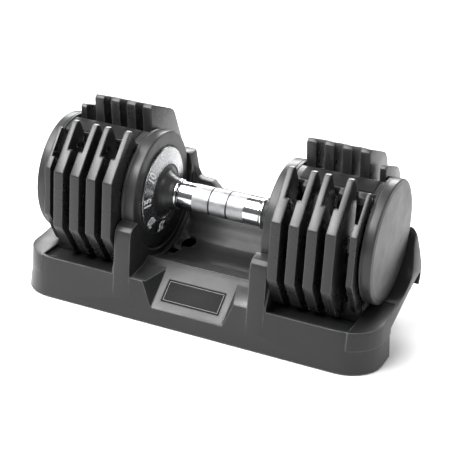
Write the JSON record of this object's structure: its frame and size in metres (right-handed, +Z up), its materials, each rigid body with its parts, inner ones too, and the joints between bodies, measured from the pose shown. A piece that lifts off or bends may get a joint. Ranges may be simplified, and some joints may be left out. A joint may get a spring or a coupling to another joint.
{
  "type": "adjustable dumbbell",
  "caption": "Adjustable dumbbell with a twist-to-select handle, slotted nested weight plates and a storage tray that frees the selector.",
  "frame": {"origin": "on the surface the tray stands on, under the middle of the handle", "axes": "+X along the handle towards the right-hand plates, +Y to the rear of the tray, +Z up"},
  "size_m": [0.382, 0.157, 0.1971],
  "materials": {
    "tray_plastic": "fine-grained moulded dark grey plastic",
    "badge": "smooth black label face",
    "pad": "black rubber foot",
    "black_plastic": "black moulded plastic",
    "disc_plastic": "satin dark grey moulded plastic",
    "inner_steel": "plain machined steel",
    "grip_chrome": "polished chrome with knurled bands",
    "dial_gloss": "glossy dark ring with white numbers",
    "plate_coating": "satin dark grey coating on steel plate"
  },
  "bodies": {
    "tray": {"tray_shell": "tray_plastic", "tray_badge_plate": "badge", "foot_pad_front_left": "pad", "foot_pad_front_right": "pad", "foot_pad_rear_left": "pad", "foot_pad_rear_right": "pad", "plate_rack_left": "black_plastic", "plate_rack_right": "black_plastic", "unlock_peg_left": "black_plastic", "unlock_peg_right": "black_plastic"},
    "core": {"inner_housing_left": "disc_plastic", "inner_housing_right": "disc_plastic", "housing_cover_left": "black_plastic", "housing_cover_right": "black_plastic", "spine_bar_left": "inner_steel", "spine_bar_right": "inner_steel", "bridge_cover_left": "disc_plastic", "bridge_cover_right": "disc_plastic", "bridge_label_left": "badge", "bridge_label_right": "badge", "outer_disc_left": "disc_plastic", "outer_disc_right": "disc_plastic", "centre_rod": "inner_steel", "rod_nut_left": "inner_steel", "rod_nut_right": "inner_steel", "lock_spring_left": "inner_steel", "lock_spring_right": "inner_steel"},
    "handle": {"grip_sleeve": "grip_chrome", "grip_flange_left": "grip_chrome", "grip_flange_right": "grip_chrome", "handle_hub_left": "black_plastic", "handle_hub_right": "black_plastic", "weight_dial_left": "dial_gloss", "weight_dial_right": "dial_gloss", "drive_gear_left": "inner_steel", "drive_gear_right": "inner_steel"},
    "selector_left": {"driven_gear_left": "inner_steel", "selector_shaft_left": "inner_steel", "selector_disc_1_left": "black_plastic", "selector_disc_2_left": "black_plastic", "selector_disc_3_left": "black_plastic"},
    "lock_left": {"lock_bar_left": "inner_steel"},
    "selector_right": {"driven_gear_right": "inner_steel", "selector_shaft_right": "inner_steel", "selector_disc_1_right": "black_plastic", "selector_disc_2_right": "black_plastic", "selector_disc_3_right": "black_plastic"},
    "lock_right": {"lock_bar_right": "inner_steel"},
    "plate_a_left": {"weight_plate_a_left": "plate_coating"},
    "plate_a_right": {"weight_plate_a_right": "plate_coating"},
    "plate_b_left": {"weight_plate_b_left": "plate_coating"},
    "plate_b_right": {"weight_plate_b_right": "plate_coating"},
    "plate_c_left": {"weight_plate_c_left": "plate_coating"},
    "plate_c_right": {"weight_plate_c_right": "plate_coating"},
    "plate_d_left": {"weight_plate_d_left": "plate_coating"},
    "plate_d_right": {"weight_plate_d_right": "plate_coating"},
    "plate_e_left": {"weight_plate_e_left": "plate_coating"},
    "plate_e_right": {"weight_plate_e_right": "plate_coating"}
  },
  "joints": [
    {"name": "dumbbell_lift", "type": "slide", "parent": "tray", "child": "core", "axis": [0, 0, 1], "range_m": [0, 0.16]},
    {"name": "handle_turn", "type": "hinge", "parent": "core", "child": "handle", "pos_m": [0, 0, 0.1115], "axis": [-1, 0, 0], "range_deg": [0, 160]},
    {"name": "selector_turn_left", "type": "hinge", "parent": "core", "child": "selector_left", "pos_m": [-0.12, -0.014, 0.0915], "axis": [1, 0, 0], "range_deg": [0, 80]},
    {"name": "selector_turn_right", "type": "hinge", "parent": "core", "child": "selector_right", "pos_m": [0.12, -0.014, 0.0915], "axis": [1, 0, 0], "range_deg": [0, 80]},
    {"name": "lock_slide_left", "type": "slide", "parent": "core", "child": "lock_left", "axis": [0, 0, -1], "range_m": [0, 0.003]},
    {"name": "lock_slide_right", "type": "slide", "parent": "core", "child": "lock_right", "axis": [0, 0, -1], "range_m": [0, 0.003]},
    {"name": "plate_a_left_release", "type": "slide", "parent": "core", "child": "plate_a_left", "axis": [0, 0, -1], "range_m": [0, 0.16]},
    {"name": "plate_a_right_release", "type": "slide", "parent": "core", "child": "plate_a_right", "axis": [0, 0, -1], "range_m": [0, 0.16]},
    {"name": "plate_b_left_release", "type": "slide", "parent": "core", "child": "plate_b_left", "axis": [0, 0, -1], "range_m": [0, 0.16]},
    {"name": "plate_b_right_release", "type": "slide", "parent": "core", "child": "plate_b_right", "axis": [0, 0, -1], "range_m": [0, 0.16]},
    {"name": "plate_c_left_release", "type": "slide", "parent": "core", "child": "plate_c_left", "axis": [0, 0, -1], "range_m": [0, 0.16]},
    {"name": "plate_c_right_release", "type": "slide", "parent": "core", "child": "plate_c_right", "axis": [0, 0, -1], "range_m": [0, 0.16]},
    {"name": "plate_d_left_release", "type": "slide", "parent": "core", "child": "plate_d_left", "axis": [0, 0, -1], "range_m": [0, 0.16]},
    {"name": "plate_d_right_release", "type": "slide", "parent": "core", "child": "plate_d_right", "axis": [0, 0, -1], "range_m": [0, 0.16]},
    {"name": "plate_e_left_release", "type": "slide", "parent": "core", "child": "plate_e_left", "axis": [0, 0, -1], "range_m": [0, 0.16]},
    {"name": "plate_e_right_release", "type": "slide", "parent": "core", "child": "plate_e_right", "axis": [0, 0, -1], "range_m": [0, 0.16]}
  ],
  "couplings": [
    {"joint": "selector_turn_left", "follows": "handle_turn", "ratio": 0.5},
    {"joint": "selector_turn_right", "follows": "handle_turn", "ratio": 0.5},
    {"joint": "lock_slide_left", "follows": "dumbbell_lift", "ratio": 0.01875},
    {"joint": "lock_slide_right", "follows": "dumbbell_lift", "ratio": 0.01875},
    {"joint": "plate_a_left_release", "follows": "dumbbell_lift", "ratio": 1},
    {"joint": "plate_a_right_release", "follows": "dumbbell_lift", "ratio": 1},
    {"joint": "plate_b_left_release", "follows": "dumbbell_lift", "ratio": 1},
    {"joint": "plate_b_right_release", "follows": "dumbbell_lift", "ratio": 1},
    {"joint": "plate_c_left_release", "follows": "dumbbell_lift", "ratio": 1},
    {"joint": "plate_c_right_release", "follows": "dumbbell_lift", "ratio": 1},
    {"joint": "plate_d_left_release", "follows": "dumbbell_lift", "ratio": 1},
    {"joint": "plate_d_right_release", "follows": "dumbbell_lift", "ratio": 1},
    {"joint": "plate_e_left_release", "follows": "dumbbell_lift", "ratio": 1},
    {"joint": "plate_e_right_release", "follows": "dumbbell_lift", "ratio": 1}
  ]
}
